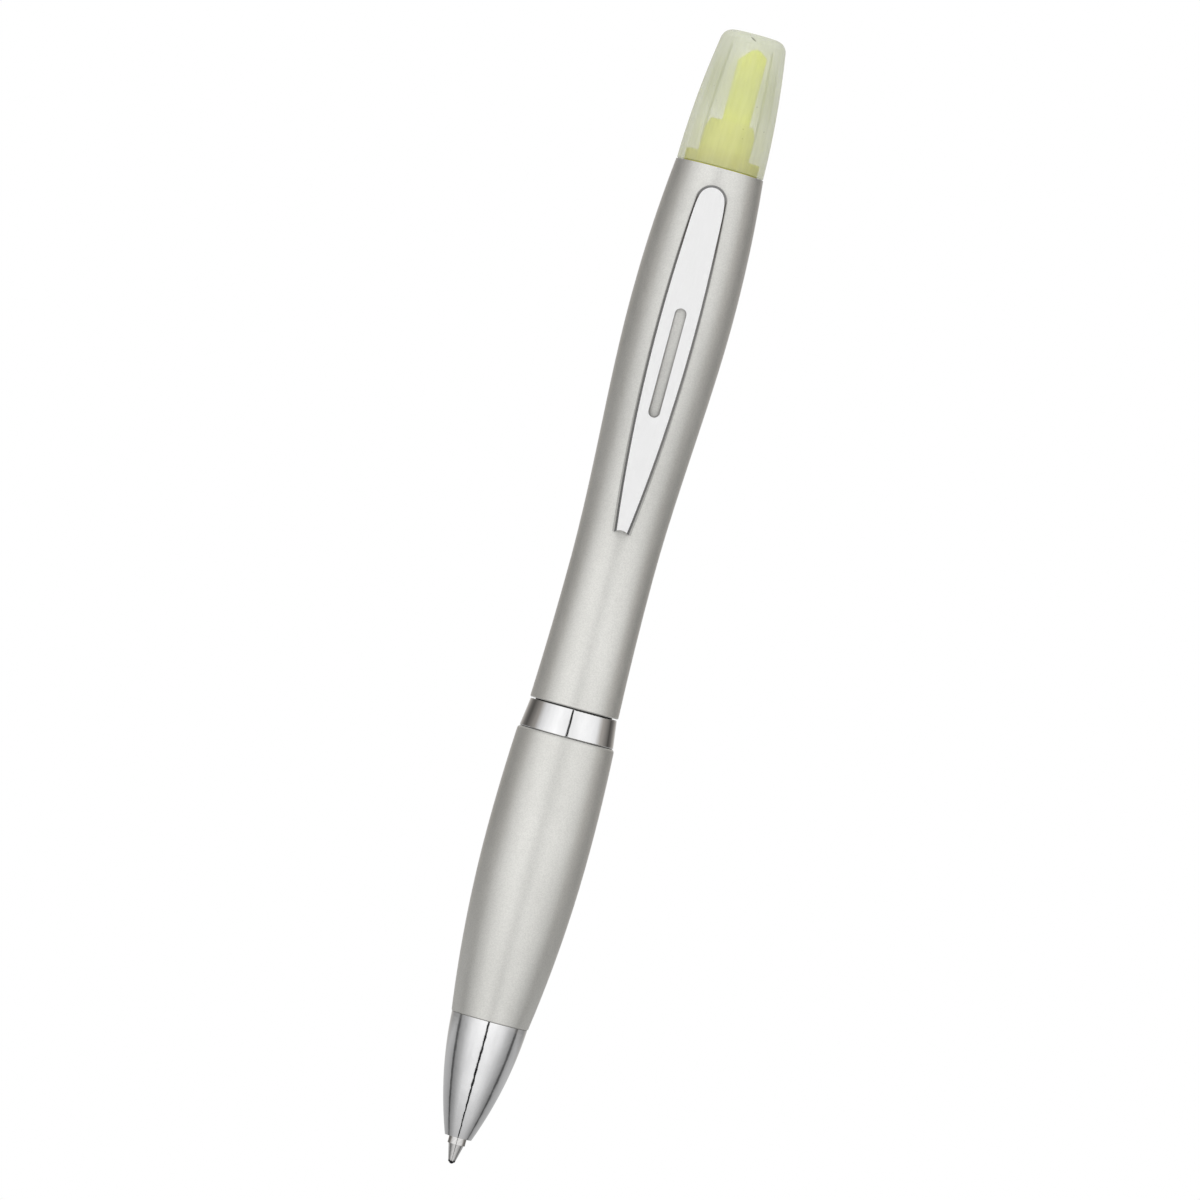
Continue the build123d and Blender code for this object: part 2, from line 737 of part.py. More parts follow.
with BuildPart() as writing_point:
    with BuildSketch(Plane.XZ):
        with BuildLine():
            Polyline(
                (0, point_lip_rise),
                (point_lip_radius, point_lip_rise),
                (point_base_radius, point_length),
                (point_shank_radius, point_length),
                (point_shank_radius, point_shank_top_z),
                (0, point_shank_top_z),
                close=True,
            )
        make_face()
    revolve(axis=Axis.Z)
    with BuildSketch(Plane.XY.offset(ball_radius)):
        Circle(ink_channel_radius)
    extrude(amount=point_shank_top_z - ball_radius, mode=Mode.SUBTRACT)
    socket_radius = ball_radius + ball_gap
    with BuildSketch(Plane.XZ):
        with BuildLine():
            ThreePointArc(
                (0, ball_radius - socket_radius),
                (socket_radius, ball_radius),
                (0, ball_radius + socket_radius),
            )
            Line((0, ball_radius + socket_radius), (0, ball_radius - socket_radius))
        make_face()
    revolve(axis=Axis.Z, mode=Mode.SUBTRACT)
writing_point.part.label = "writing_point"
export_step(writing_point.part, "parts/writing_point.step")

with BuildPart() as point_holder:
    with BuildSketch(Plane.XZ):
        with BuildLine():
            holder_outside = stepped(
                point_length,
                (holder_front_radius, point_length + holder_front_length),
                (holder_rear_radius, shoulder_z),
                (shoulder_radius, tube_bottom_z),
                (tube_bore_radius, holder_top_z),
            )
            holder_inside = stepped(
                point_length,
                (point_shank_radius, point_shank_top_z),
                (holder_bore_radius, holder_top_z),
            )
            tube_outline(holder_outside, holder_inside)
        make_face()
    revolve(axis=Axis.Z)
point_holder.part.label = "point_holder"
export_step(point_holder.part, "parts/point_holder.step")

with BuildPart() as refill_tube:
    with BuildSketch(Plane.XY.offset(tube_bottom_z)):
        Circle(tube_radius)
        Circle(tube_bore_radius, mode=Mode.SUBTRACT)
    extrude(amount=tube_top_z - tube_bottom_z)
refill_tube.part.label = "refill_tube"
export_step(refill_tube.part, "parts/refill_tube.step")

with BuildPart() as refill_ink:
    with BuildSketch(Plane.XZ):
        with BuildLine():
            ink_side = stepped(
                point_shank_top_z, (holder_bore_radius, holder_top_z), (tube_bore_radius, grease_bottom_z)
            )
            Polyline((0, point_shank_top_z), *ink_side, (0, grease_bottom_z), close=True)
        make_face()
    revolve(axis=Axis.Z)
refill_ink.part.label = "refill_ink"
export_step(refill_ink.part, "parts/refill_ink.step")

with BuildPart() as follower_grease:
    with BuildSketch(Plane.XY.offset(grease_bottom_z)):
        Circle(tube_bore_radius)
    extrude(amount=grease_length)
follower_grease.part.label = "follower_grease"
export_step(follower_grease.part, "parts/follower_grease.step")

with BuildPart() as end_plug:
    with BuildSketch(Plane.XY.offset(end_plug_z)):
        Circle(tube_bore_radius)
        Circle(vent_radius, mode=Mode.SUBTRACT)
    extrude(amount=end_plug_length)
end_plug.part.label = "end_plug"
export_step(end_plug.part, "parts/end_plug.step")
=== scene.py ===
"""Twist ballpoint pen with a capped chisel highlighter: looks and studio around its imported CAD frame."""

from math import cos, pi, radians, sin

import bmesh
import bpy
from bpy.props import FloatProperty, FloatVectorProperty, IntProperty, PointerProperty
from mathutils import Matrix, Vector, noise


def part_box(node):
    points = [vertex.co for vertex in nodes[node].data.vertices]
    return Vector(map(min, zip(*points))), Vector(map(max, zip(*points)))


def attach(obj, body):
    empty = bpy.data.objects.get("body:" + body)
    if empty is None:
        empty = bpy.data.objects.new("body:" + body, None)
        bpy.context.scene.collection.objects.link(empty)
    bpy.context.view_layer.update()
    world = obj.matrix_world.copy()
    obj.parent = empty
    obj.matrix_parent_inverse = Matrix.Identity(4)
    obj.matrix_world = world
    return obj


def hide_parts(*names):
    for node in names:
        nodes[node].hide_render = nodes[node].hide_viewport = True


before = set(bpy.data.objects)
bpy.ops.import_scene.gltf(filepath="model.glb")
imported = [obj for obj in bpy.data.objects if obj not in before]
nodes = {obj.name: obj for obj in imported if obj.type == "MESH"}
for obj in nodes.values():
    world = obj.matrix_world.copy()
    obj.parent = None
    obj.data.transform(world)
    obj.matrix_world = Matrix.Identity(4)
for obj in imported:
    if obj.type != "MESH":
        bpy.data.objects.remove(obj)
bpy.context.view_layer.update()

bl_info = {
    "name": "Twist Pen with Highlighter",
    "version": (1, 0, 0),
    "blender": (4, 5, 0),
    "location": "3D View > Sidebar > Pen",
    "description": "Finishes the pen's CAD pieces and sets the studio round them",
    "category": "Object",
}

MM = 0.001
cap_low, cap_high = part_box("highlighter_cap")

# ---------------------------------------------------------------- fixed measures
WAVE_SCALE = 0.314  # scale of a wave texture whose bands are a metre apart
OCCLUSION_SAMPLES = 8
SEAM_OPENNESS = (0.15, 0.7)  # how open a spot is where the painted seam shade is full, and where it ends
EDGE_ROUGHNESS = 0.08  # the clip's polished edges
SIDE_SKIN = (0.5, 0.35)  # depths in the cap's side, as shares of its wall: milky skin begins, and is full
LID_SKIN = (0.5, 0.4)  # the same in the cap's top
INNER_VEIL = 0.10  # opacity of the cap's inner wall
OUTER_VEIL = (0.36, 0.47)  # least and most that the outer skin adds to it
GATE_MARK_LEAN = radians(29)
GATE_MARK_REACH = (0.52 * MM, 1.5 * MM, 0.11 * MM)  # half the mark's length, depth and width
FOOT_TONE_FADE = (1.2 * MM, 2.6 * MM)  # heights over the cap's mouth where the holder's darker foot tone thins and ends
SMEAR_FADE = (0.43 * MM, 0.60 * MM)  # heights over the writing point where its ink thins and ends
SMEAR_RAGGEDNESS = 0.2 * MM
DRIED_INK = (0.012, 0.012, 0.014)
SAME_SPOT = 1e-6  # distance in metres within which two corners are one


# ---------------------------------------------------------------- settings
def colour(label, text, default):
    return FloatVectorProperty(
        name=label, description=text, default=default, size=3, min=0, max=1, subtype="COLOR"
    )


def length(label, text, default):
    return FloatProperty(
        name=label, description=text, default=default, min=0, unit="LENGTH", precision=5
    )


class PenFinishes(bpy.types.PropertyGroup):
    """Colours and finish sizes of the pen's outside"""

    paint: colour("Paint", "Light tone of the silver paint", (0.825, 0.82, 0.785))
    paint_shade: colour("Paint shade", "Dark tone of the silver paint", (0.745, 0.74, 0.705))
    flake: length("Flake size", "Size of the metal flakes in the paint", 0.11 * MM)
    chrome: colour("Chrome", "Tint of the chrome plate", (0.87, 0.87, 0.875))
    clip_steel: colour("Clip steel", "Tint of the clip's steel", (1.0, 1.0, 1.0))
    brushing: length("Brush line", "Width of one brushed line on the clip", 0.05 * MM)
    cap: colour("Cap", "Tint of the frosted cap", (0.78, 0.81, 0.61))
    gate_mark: FloatVectorProperty(
        name="Gate mark", description="Middle of the scratch on the cap's top", size=3,
        default=(-0.15 * MM, -3.6 * MM, 145.2 * MM), subtype="TRANSLATION", unit="LENGTH",
    )
    holder: colour("Nib holder", "Tint of the nib holder's plastic", (0.95, 0.95, 0.13))
    # A darker tone for the holder's foot, near the cap's mouth.
    holder_foot_tone: colour("Holder foot tone", "Holder's colour low down, round its foot", (0.70, 0.66, 0.03))
    ink: colour("Highlighter ink", "Colour of the inked felt", (0.94, 0.97, 0.16))
    ink_deep: colour("Deep ink", "Colour of the felt where it holds more ink", (0.88, 0.93, 0.09))
    fibre: length("Fibre", "Thickness of a bundle of felt fibres", 0.16 * MM)


class PenCapRibs(bpy.types.PropertyGroup):
    """Sizes of the ribs moulded inside the cap"""

    count: IntProperty(name="Ribs", description="Number of ribs inside the cap", default=4, min=1)
    radius: length("Rib radius", "Radius of a half-round rib", 0.15 * MM)
    wall: length("Cap wall", "Thickness of the cap's wall", 0.95 * MM)
    bulge: length("Bulge", "How far the cap's side swells past a straight cone", 0.33 * MM)
    narrowing: length("Narrowing", "The cap's bottom radius less its top radius", 1.59 * MM)
    rise: length("Rise", "Height of the ribs' lower ends above the cap's mouth", 2.6 * MM)
    drop: length("Drop", "Depth of the ribs' upper ends below the cap's top", 1.6 * MM)


class PenStudio(bpy.types.PropertyGroup):
    """Camera, floor and light"""

    lean: FloatProperty(
        name="Lean", description="How far the pen leans in the frame",
        default=radians(15.134), subtype="ANGLE",
    )
    frame_width: length("Frame width", "Width seen at the pen", 149.87 * MM)
    distance: length("Camera distance", "From the pen's axis to the camera", 1.4)
    aim_height: length("Aim height", "Height of the frame's middle above the writing point", 72.8 * MM)
    aim_side: FloatProperty(
        name="Aim side", description="Frame's middle beside the pen's axis",
        default=-0.4 * MM, unit="LENGTH",
    )
    floor_drop: length("Floor drop", "Floor's depth below the writing point", 0.06)
    floor_radius: length("Floor radius", "Radius of the floor disc", 0.6)
    floor: colour("Floor", "Colour of the floor", (0.93, 0.93, 0.92))
    fill: FloatProperty(
        name="Fill", description="Power of the overhead fill light", default=1.2, unit="POWER"
    )


# ---------------------------------------------------------------- shader helpers
def add_node(tree, kind, **values):
    """A new node, with its attributes set from the keywords."""
    node = tree.nodes.new(kind)
    for key, value in values.items():
        setattr(node, key, value)
    return node


def place(tree, stretch=(1, 1, 1)):
    """Object coordinates in metres, scaled along each axis."""
    spot = add_node(tree, "ShaderNodeTexCoord")
    mapping = add_node(tree, "ShaderNodeMapping")
    mapping.inputs["Scale"].default_value = stretch
    tree.links.new(spot.outputs["Object"], mapping.inputs["Vector"])
    return mapping.outputs["Vector"]


def cloud(tree, size, detail=3.0, stretch=(1, 1, 1), roughness=0.55):
    """Noise whose lumps are about size metres across."""
    lumps = add_node(tree, "ShaderNodeTexNoise")
    lumps.inputs["Scale"].default_value = 1 / size
    lumps.inputs["Detail"].default_value = detail
    lumps.inputs["Roughness"].default_value = roughness
    tree.links.new(place(tree, stretch), lumps.inputs["Vector"])
    return lumps.outputs["Fac"]


def flakes(tree, size):
    """Grey value of each flake of about size metres."""
    cells = add_node(tree, "ShaderNodeTexVoronoi")
    cells.inputs["Scale"].default_value = 1 / size
    tree.links.new(place(tree), cells.inputs["Vector"])
    split = add_node(tree, "ShaderNodeSeparateColor")
    tree.links.new(cells.outputs["Color"], split.inputs["Color"])
    return split.outputs["Red"]


def rings(tree, pitch, distortion=0.4):
    """Turned rings, pitch metres apart along the pen."""
    bands = add_node(tree, "ShaderNodeTexWave", wave_type="BANDS", bands_direction="Z")
    bands.inputs["Scale"].default_value = WAVE_SCALE / pitch
    bands.inputs["Distortion"].default_value = distortion
    tree.links.new(place(tree), bands.inputs["Vector"])
    return bands.outputs["Fac"]


def spread(tree, factor, low, high, start=0.3, end=0.7):
    """The factor between start and end, spread from low to high."""
    span = add_node(tree, "ShaderNodeMapRange")
    tree.links.new(factor, span.inputs["Value"])
    span.inputs["From Min"].default_value = start
    span.inputs["From Max"].default_value = end
    span.inputs["To Min"].default_value = low
    span.inputs["To Max"].default_value = high
    return span.outputs["Result"]


def blend_colours(tree, factor, first, second, kind="MIX"):
    """Two colours, or a socket and a colour, mixed by a factor."""
    mix = add_node(tree, "ShaderNodeMix", data_type="RGBA", blend_type=kind)
    if hasattr(factor, "is_linked"):
        tree.links.new(factor, mix.inputs["Factor"])
    else:
        mix.inputs["Factor"].default_value = factor
    for socket, value in ((mix.inputs[6], first), (mix.inputs[7], second)):
        if hasattr(value, "is_linked"):
            tree.links.new(value, socket)
        else:
            socket.default_value = (*value, 1)
    return mix.outputs[2]


def calculate(tree, operation, first, second=0.0):
    """The result of a maths operation on two values or sockets."""
    maths = add_node(tree, "ShaderNodeMath", operation=operation)
    for socket, value in zip(maths.inputs, (first, second)):
        if hasattr(value, "is_linked"):
            tree.links.new(value, socket)
        else:
            socket.default_value = value
    return maths.outputs["Value"]


def relief(tree, heights):
    """Bump from pairs of a height factor and its depth in metres, one on the other."""
    normal = None
    for factor, depth in heights:
        bump = add_node(tree, "ShaderNodeBump")
        bump.inputs["Distance"].default_value = depth
        tree.links.new(factor, bump.inputs["Height"])
        if normal:
            tree.links.new(normal, bump.inputs["Normal"])
        normal = bump.outputs["Normal"]
    return normal


def seam_shade(tree, reach, darkest, lightest):
    """Painted shade: darkest where another surface stands close by, lightest with none within reach
    metres.
    """
    openness = add_node(tree, "ShaderNodeAmbientOcclusion", samples=OCCLUSION_SAMPLES)
    openness.inputs["Distance"].default_value = reach
    return spread(tree, openness.outputs["AO"], darkest, lightest, *SEAM_OPENNESS)


def finish(name, paint, **constants):
    """A material: paint(tree) gives colour, roughness and relief; constants go on the shader."""
    material = bpy.data.materials.new(name)
    material.use_nodes = True
    tree = material.node_tree
    shader = tree.nodes["Principled BSDF"]
    for label, value in constants.items():
        shader.inputs[label.replace("_", " ")].default_value = value
    base, roughness, heights = paint(tree)
    tree.links.new(base, shader.inputs["Base Color"])
    tree.links.new(roughness, shader.inputs["Roughness"])
    if heights:
        tree.links.new(relief(tree, heights), shader.inputs["Normal"])
    return material


def mottled(tree, light, dark, size, smooth, rough, stretch=(1, 1, 1)):
    """Colour and roughness that drift together over lumps of one size."""
    lumps = cloud(tree, size, stretch=stretch)
    return blend_colours(tree, spread(tree, lumps, 0, 1), dark, light), spread(tree, lumps, rough, smooth)


def darker(rgb, share):
    """A colour scaled by a share."""
    return tuple(channel * share for channel in rgb)


# ---------------------------------------------------------------- finishes
def satin_silver_paint(looks):
    """Silver paint: flakes under a smooth satin lacquer."""
    def paint(tree):
        drift = spread(tree, cloud(tree, 6 * MM, stretch=(1, 1, 0.3)), 0, 1)
        base = blend_colours(tree, drift, looks.paint_shade, looks.paint)
        flake = spread(tree, flakes(tree, looks.flake), 0.88, 1.0, start=0, end=1)
        base = blend_colours(tree, 1.0, base, flake, "MULTIPLY")
        # Painted shade in the seams, darkest where the cap, the ring or the clip stand close to the paint.
        contact_shade = seam_shade(tree, reach=0.45 * MM, darkest=0.25, lightest=1.0)
        base = blend_colours(tree, 1.0, base, contact_shade, "MULTIPLY")
        roughness = spread(tree, cloud(tree, 0.9 * MM), 0.33, 0.41)
        heights = (
            (cloud(tree, 0.5 * MM, detail=2), 0.0016 * MM),
            (flakes(tree, looks.flake), 0.0012 * MM),
        )
        return base, roughness, heights
    return finish("satin_silver_paint", paint, Metallic=0.75, Coat_Weight=0.08, Coat_Roughness=0.3)


def polished_chrome(looks):
    """Chrome plate with faint smudges and hairlines along the pen."""
    def paint(tree):
        smudge = spread(tree, cloud(tree, 2.2 * MM, stretch=(1, 1, 0.35)), 0, 1)
        base = blend_colours(tree, smudge, darker(looks.chrome, 0.88), looks.chrome)
        roughness = spread(tree, cloud(tree, 1.3 * MM, detail=4, stretch=(1, 1, 0.4)), 0.04, 0.11)
        heights = (
            (cloud(tree, 0.16 * MM, detail=3, stretch=(1, 1, 0.10)), 0.0011 * MM),
            (cloud(tree, 0.9 * MM, detail=1, stretch=(1, 1, 0.35)), 0.0070 * MM),
        )
        return base, roughness, heights
    return finish("polished_chrome", paint, Metallic=1.0)


def brushed_clip_steel(looks):
    """Steel with a brushed face and polished edges, with painted shade on its side walls and in its seams.
    """
    def paint(tree):
        brushing = cloud(tree, looks.brushing, detail=2, stretch=(1, 1, 0.03))
        streak = spread(tree, brushing, 0, 1)
        base = blend_colours(tree, streak, darker(looks.clip_steel, 0.96), looks.clip_steel)
        facing = add_node(tree, "ShaderNodeNewGeometry")
        split = add_node(tree, "ShaderNodeSeparateXYZ")
        tree.links.new(facing.outputs["Normal"], split.inputs["Vector"])
        facing_out = calculate(tree, "ABSOLUTE", split.outputs["Y"])
        face = spread(tree, facing_out, 0, 1, start=0.93, end=0.995)
        # Painted shade: side walls that turn away from the front are darkened, standing in for the shadow
        # gap beside the barrel.
        wall_shade = spread(tree, facing_out, 0.30, 1, start=0.78, end=0.92)
        base = blend_colours(tree, 1.0, base, wall_shade, "MULTIPLY")
        # Painted shade where the clip stands close to the barrel.
        contact_shade = seam_shade(tree, reach=0.8 * MM, darkest=0.3, lightest=1.0)
        base = blend_colours(tree, 1.0, base, contact_shade, "MULTIPLY")
        brushed = spread(tree, brushing, 0.30, 0.38)
        roughness = calculate(tree, "ADD", EDGE_ROUGHNESS, calculate(tree, "MULTIPLY", face, brushed))
        depth = calculate(tree, "MULTIPLY", brushing, face)
        return base, roughness, ((depth, 0.0011 * MM),)
    return finish("brushed_clip_steel", paint, Metallic=1.0)


def frosted_cap_plastic(looks, ribs):
    """Milky translucent moulding with faint flow lines and a mark at its gate."""
    def paint(tree):
        flow = cloud(tree, 0.8 * MM, detail=3, stretch=(1, 1, 0.12))
        base = blend_colours(tree, spread(tree, flow, 0, 1), darker(looks.cap, 0.92), looks.cap)
        specks = spread(tree, cloud(tree, 0.55 * MM, detail=1), 0, 1, start=0.765, end=0.80)
        base = blend_colours(tree, specks, base, darker(looks.cap, 0.55))
        roughness = spread(tree, cloud(tree, 0.5 * MM), 0.30, 0.42)
        heights = ((flow, 0.006 * MM), (cloud(tree, 0.12 * MM, detail=2), 0.002 * MM))
        return base, roughness, heights
    frosted = finish(
        "frosted_cap_plastic", paint, Transmission_Weight=0.25, IOR=1.42, Specular_IOR_Level=0.35
    )
    tree = frosted.node_tree
    shader = tree.nodes["Principled BSDF"]
    # The milkiness lies in the outer skin: the inner wall and the inner top are clearer.
    reach = add_node(tree, "ShaderNodeVectorMath", operation="LENGTH")
    tree.links.new(place(tree, (1, 1, 0)), reach.inputs[0])
    split = add_node(tree, "ShaderNodeSeparateXYZ")
    tree.links.new(place(tree), split.inputs["Vector"])
    up = calculate(tree, "SUBTRACT", split.outputs["Z"], cap_low.z)
    narrowed = calculate(tree, "MULTIPLY", up, ribs.narrowing / (cap_high.z - cap_low.z))
    straight = calculate(tree, "ADD", reach.outputs["Value"], narrowed)
    side = spread(tree, straight, 0, 1, *[cap_high.x - share * ribs.wall for share in SIDE_SKIN])
    lid = spread(tree, split.outputs["Z"], 0, 1, *[cap_high.z - share * ribs.wall for share in LID_SKIN])
    skin = calculate(tree, "MAXIMUM", side, lid)
    milky = spread(tree, cloud(tree, 1.1 * MM, detail=3, stretch=(1, 1, 0.1)), *OUTER_VEIL)
    veil = calculate(tree, "ADD", INNER_VEIL, calculate(tree, "MULTIPLY", skin, milky))
    # A short slanting scratch left at the moulding gate, on the front of the top's round.
    mark = add_node(tree, "ShaderNodeMapping", vector_type="TEXTURE")
    mark.inputs["Location"].default_value = looks.gate_mark
    mark.inputs["Rotation"].default_value = (0, GATE_MARK_LEAN, 0)
    mark.inputs["Scale"].default_value = GATE_MARK_REACH
    tree.links.new(place(tree), mark.inputs["Vector"])
    off = add_node(tree, "ShaderNodeVectorMath", operation="LENGTH")
    tree.links.new(mark.outputs["Vector"], off.inputs[0])
    scratch = spread(tree, off.outputs["Value"], 0.9, 0, start=0.6, end=1.0)
    plain = shader.inputs["Base Color"].links[0].from_socket
    scratched = blend_colours(tree, scratch, plain, darker(looks.cap, 0.12))
    tree.links.new(scratched, shader.inputs["Base Color"])
    tree.links.new(calculate(tree, "MAXIMUM", veil, scratch), shader.inputs["Alpha"])
    return frosted


def tinted_holder_plastic(looks):
    """Translucent holder, darker round its foot."""
    def paint(tree):
        shaded = darker(looks.holder, 0.90)
        base, roughness = mottled(tree, looks.holder, shaded, size=1.6 * MM, smooth=0.34, rough=0.5)
        height = add_node(tree, "ShaderNodeSeparateXYZ")
        tree.links.new(place(tree), height.inputs["Vector"])
        # Darker towards the holder's foot, near the cap's mouth.
        foot_tone = spread(tree, height.outputs["Z"], 1, 0, *[cap_low.z + over for over in FOOT_TONE_FADE])
        base = blend_colours(tree, foot_tone, base, looks.holder_foot_tone)
        return base, roughness, ((cloud(tree, 0.3 * MM, detail=2), 0.003 * MM),)
    # The emission is a painted glow that stands in for the plastic's fluorescence; it shines whatever the
    # light.
    return finish(
        "tinted_holder_plastic", paint, Subsurface_Weight=0.35, Subsurface_Scale=1.2 * MM,
        Subsurface_Radius=(1.0, 1.0, 0.35), IOR=1.46,
        Emission_Color=(0.90, 0.92, 0.06, 1), Emission_Strength=0.05,
    )


def inked_felt(looks):
    """Felt of fibres along the nib, with more ink in some patches."""
    def paint(tree):
        strands = cloud(tree, looks.fibre, detail=3, stretch=(1, 1, 0.05))
        soaked = spread(tree, cloud(tree, 1.8 * MM, stretch=(1, 1, 0.5)), 0, 1)
        base = blend_colours(tree, soaked, looks.ink_deep, looks.ink)
        base = blend_colours(tree, spread(tree, strands, 0.0, 0.22), base, darker(looks.ink_deep, 0.75))
        roughness = spread(tree, strands, 0.72, 0.92)
        heights = ((strands, 0.012 * MM), (cloud(tree, 0.05 * MM, detail=2), 0.004 * MM))
        return base, roughness, heights
    # The emission is a painted glow that stands in for the ink's fluorescence; it shines whatever the
    # light.
    return finish(
        "inked_felt", paint, Subsurface_Weight=0.25, Subsurface_Scale=0.8 * MM,
        Subsurface_Radius=(1.0, 1.0, 0.3), Sheen_Weight=0.25, Sheen_Roughness=0.5,
        Emission_Color=(0.92, 0.95, 0.02, 1), Emission_Strength=0.14,
    )


def inked_fibre(looks):
    """Bundled fibre rod soaked with ink."""
    def paint(tree):
        strands = cloud(tree, 0.12 * MM, detail=3, stretch=(1, 1, 0.03))
        base = blend_colours(tree, spread(tree, strands, 0, 1), darker(looks.ink_deep, 0.8), looks.ink)
        return base, spread(tree, strands, 0.75, 0.95), ((strands, 0.02 * MM),)
    return finish("inked_fibre", paint, Sheen_Weight=0.3)


def moulded(name, light, dark, smooth, rough, texture=0.12 * MM, depth=0.004 * MM, **constants):
    """A moulded plastic with a fine texture and faint flow marks."""
    def paint(tree):
        base, roughness = mottled(
            tree, light, dark, size=2.5 * MM, smooth=smooth, rough=rough, stretch=(1, 1, 0.3)
        )
        heights = ((cloud(tree, texture, detail=2), depth), (cloud(tree, 1.5 * MM, detail=2), 0.004 * MM))
        return base, roughness, heights
    return finish(name, paint, **constants)


def turned_metal(name, light, dark, smooth, rough, pitch, **constants):
    """A turned metal with rings from the tool."""
    def paint(tree):
        marks = rings(tree, pitch)
        base = blend_colours(tree, spread(tree, marks, 0, 1, start=0, end=1), dark, light)
        roughness = spread(tree, cloud(tree, 0.4 * MM), smooth, rough)
        return base, roughness, ((marks, 0.0015 * MM), (cloud(tree, 0.08 * MM, detail=2), 0.0008 * MM))
    return finish(name, paint, Metallic=1.0, **constants)


def drawn_spring_steel():
    """Steel wire and strip with fine drawing marks and a trace of oil."""
    def paint(tree):
        base, roughness = mottled(
            tree, (0.66, 0.66, 0.67), (0.50, 0.50, 0.52), size=0.5 * MM, smooth=0.16, rough=0.34
        )
        return base, roughness, ((cloud(tree, 0.03 * MM, detail=2, stretch=(1, 1, 0.4)), 0.001 * MM),)
    return finish("drawn_spring_steel", paint, Metallic=1.0)


def black_rubber():
    """Matt rubber with a little dust."""
    def paint(tree):
        dust = spread(tree, cloud(tree, 0.15 * MM, detail=4), 0, 0.5, start=0.55, end=0.75)
        base = blend_colours(tree, dust, (0.018, 0.018, 0.019), (0.09, 0.088, 0.084))
        roughness = spread(tree, dust, 0.55, 0.85, start=0, end=1)
        return base, roughness, ((cloud(tree, 0.06 * MM, detail=3), 0.004 * MM),)
    return finish("black_rubber", paint)


def ballpoint_ink():
    """Black ink, mottled with dark blue."""
    def paint(tree):
        base, roughness = mottled(
            tree, (0.012, 0.012, 0.03), (0.004, 0.004, 0.006), size=1.5 * MM, smooth=0.08, rough=0.2
        )
        return base, roughness, ((cloud(tree, 1.0 * MM, detail=1), 0.004 * MM),)
    return finish("ballpoint_ink", paint, Coat_Weight=0.5)


def clear_grease():
    """Honey-coloured follower grease with fine bubbles."""
    def paint(tree):
        bubbles = spread(tree, flakes(tree, 0.25 * MM), 0, 1, start=0.82, end=0.9)
        base = blend_colours(tree, bubbles, (0.80, 0.74, 0.55), (0.95, 0.93, 0.85))
        roughness = spread(tree, bubbles, 0.15, 0.3, start=0, end=1)
        return base, roughness, ((bubbles, 0.01 * MM),)
    return finish("clear_grease", paint, Transmission_Weight=0.6, IOR=1.46)


def wear(material, *names):
    """Gives each named CAD node one material."""
    for name in names:
        slots = nodes[name].data.materials
        slots.clear()
        slots.append(material)


# ---------------------------------------------------------------- mesh helpers
def new_piece(name, mesh):
    """A new object on a mesh, at the origin, in the scene."""
    piece = bpy.data.objects.new(name, mesh)
    bpy.context.scene.collection.objects.link(piece)
    return piece


def settled(piece, name):
    """The piece's evaluated mesh as a plain mesh, with its modifiers removed."""
    bpy.context.view_layer.update()
    evaluated = piece.evaluated_get(bpy.context.evaluated_depsgraph_get())
    mesh = bpy.data.meshes.new_from_object(evaluated)
    mesh.name = name
    piece.modifiers.clear()
    piece.data = mesh
    return piece


def merged_copy(name):
    """A copy of a CAD node's mesh with its loose triangles joined."""
    mesh = nodes[name].data.copy()
    work = bmesh.new()
    work.from_mesh(mesh)
    bmesh.ops.remove_doubles(work, verts=work.verts, dist=SAME_SPOT)
    work.to_mesh(mesh)
    work.free()
    return mesh


